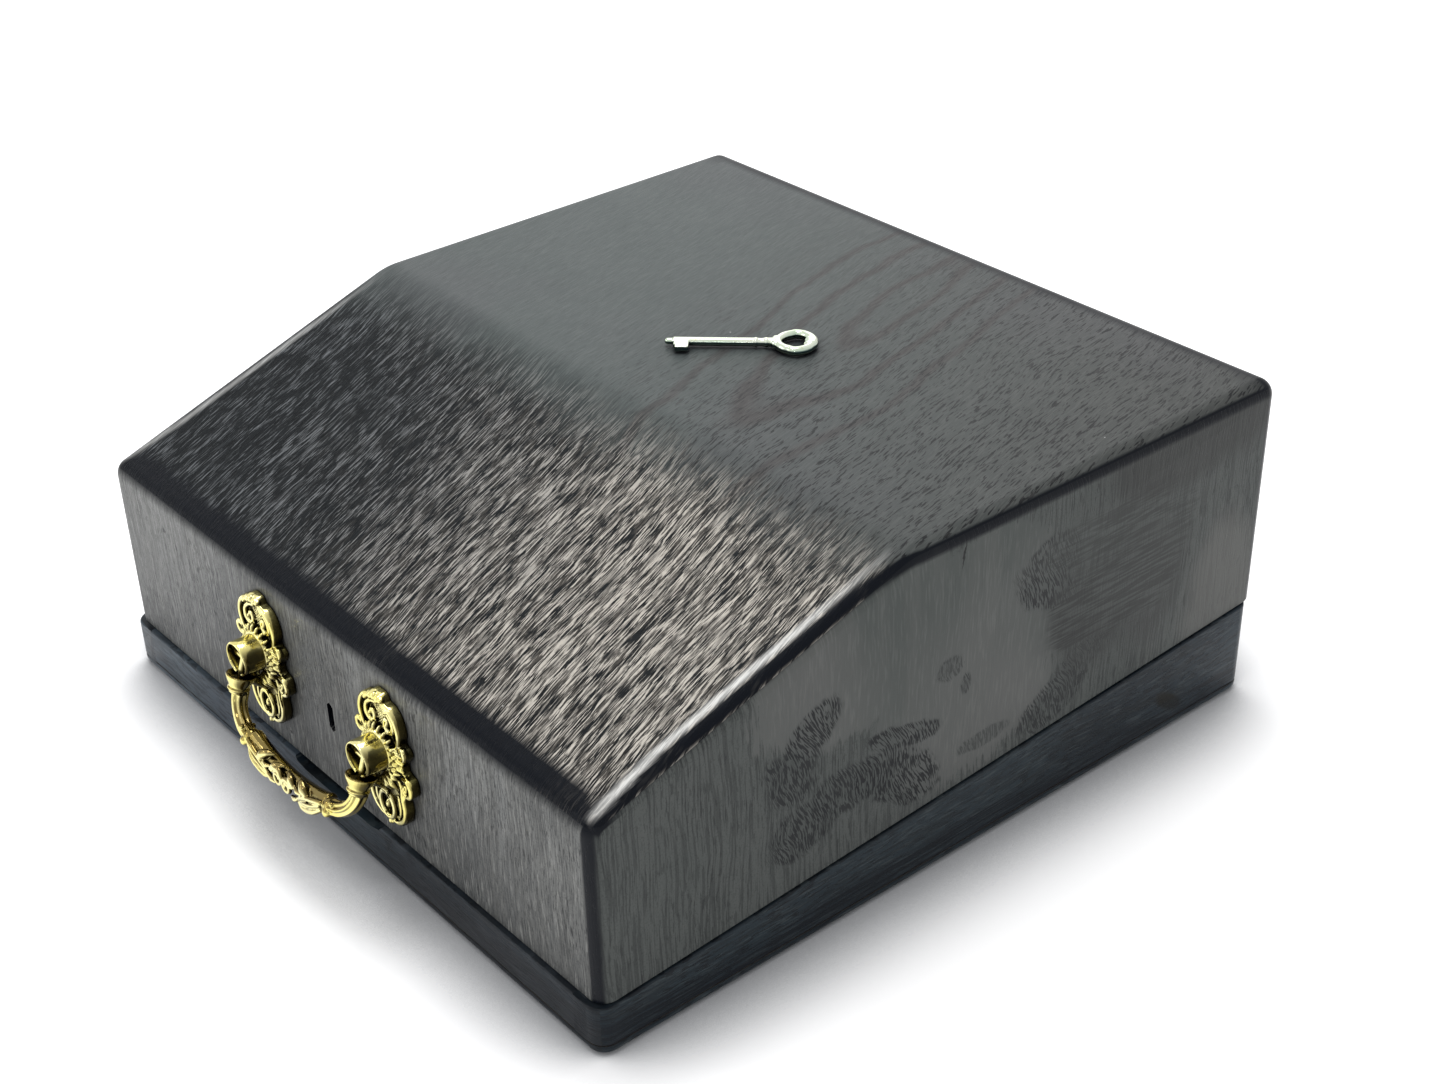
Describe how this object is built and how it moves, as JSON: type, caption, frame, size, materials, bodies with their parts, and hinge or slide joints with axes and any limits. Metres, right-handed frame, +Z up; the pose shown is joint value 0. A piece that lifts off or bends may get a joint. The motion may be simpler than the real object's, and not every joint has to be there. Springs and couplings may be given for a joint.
{
  "type": "donation box",
  "caption": "Black wooden lock box with a sloped hood hinged on a low base, a front keyhole, an ornate drop handle and a loose key.",
  "frame": {"origin": "middle of the hood's footprint, on the surface that the box stands on", "axes": "+X to the right seen from the front, -Y out of the front wall, +Z up"},
  "size_m": [0.292, 0.3243, 0.1299],
  "materials": {
    "hood_wood": "satin black stain over open grain",
    "base_wood": "satin black stain, smoother",
    "handle_brass": "polished cast brass",
    "hinge_brass": "satin brass",
    "lock_brass": "plain stamped brass",
    "lock_steel": "zinc-plated stamped steel",
    "key_nickel": "nickel-plated casting"
  },
  "bodies": {
    "base": {"bottom_board": "base_wood", "base_front_rail": "base_wood", "base_rear_rail": "base_wood", "base_left_rail": "base_wood", "base_right_rail": "base_wood", "link_plate": "lock_brass", "link_plate_screws": "lock_brass", "hinge_base_leaf_left": "hinge_brass", "hinge_base_leaf_right": "hinge_brass", "hinge_pin_left": "hinge_brass", "hinge_pin_right": "hinge_brass", "hinge_base_screws": "hinge_brass"},
    "hood": {"hood_front": "hood_wood", "hood_slope": "hood_wood", "hood_top": "hood_wood", "hood_rear": "hood_wood", "hood_left": "hood_wood", "hood_right": "hood_wood", "hinge_hood_leaf_left": "hinge_brass", "hinge_hood_leaf_right": "hinge_brass", "hinge_hood_screws": "hinge_brass", "handle_plate_left": "handle_brass", "handle_plate_right": "handle_brass", "handle_post_left": "handle_brass", "handle_post_right": "handle_brass", "bail_pins": "handle_brass", "handle_washers": "lock_steel", "handle_nuts": "lock_steel", "lock_case": "lock_steel", "lock_cap": "lock_steel", "lock_cap_screws": "lock_steel", "lock_spring": "lock_steel"},
    "bail": {"bail": "handle_brass"},
    "bolt": {"lock_bolt": "lock_brass"},
    "key": {"key": "key_nickel"}
  },
  "joints": [
    {"name": "hood_hinge", "type": "hinge", "parent": "base", "child": "hood", "pos_m": [0, 0.15098, 0.03748], "axis": [-1, 0, 0], "range_deg": [0, 90]},
    {"name": "bail_swing", "type": "hinge", "parent": "hood", "child": "bail", "pos_m": [0, -0.1577, 0.059], "axis": [-1, 0, 0], "range_deg": [0, 75]},
    {"name": "bolt_slide", "type": "slide", "parent": "hood", "child": "bolt", "axis": [1, 0, 0], "range_m": [0, 0.0055]},
    {"name": "key_lift", "type": "slide", "parent": "hood", "child": "key", "axis": [0, 0, 1], "range_m": [0, 0.04]}
  ]
}
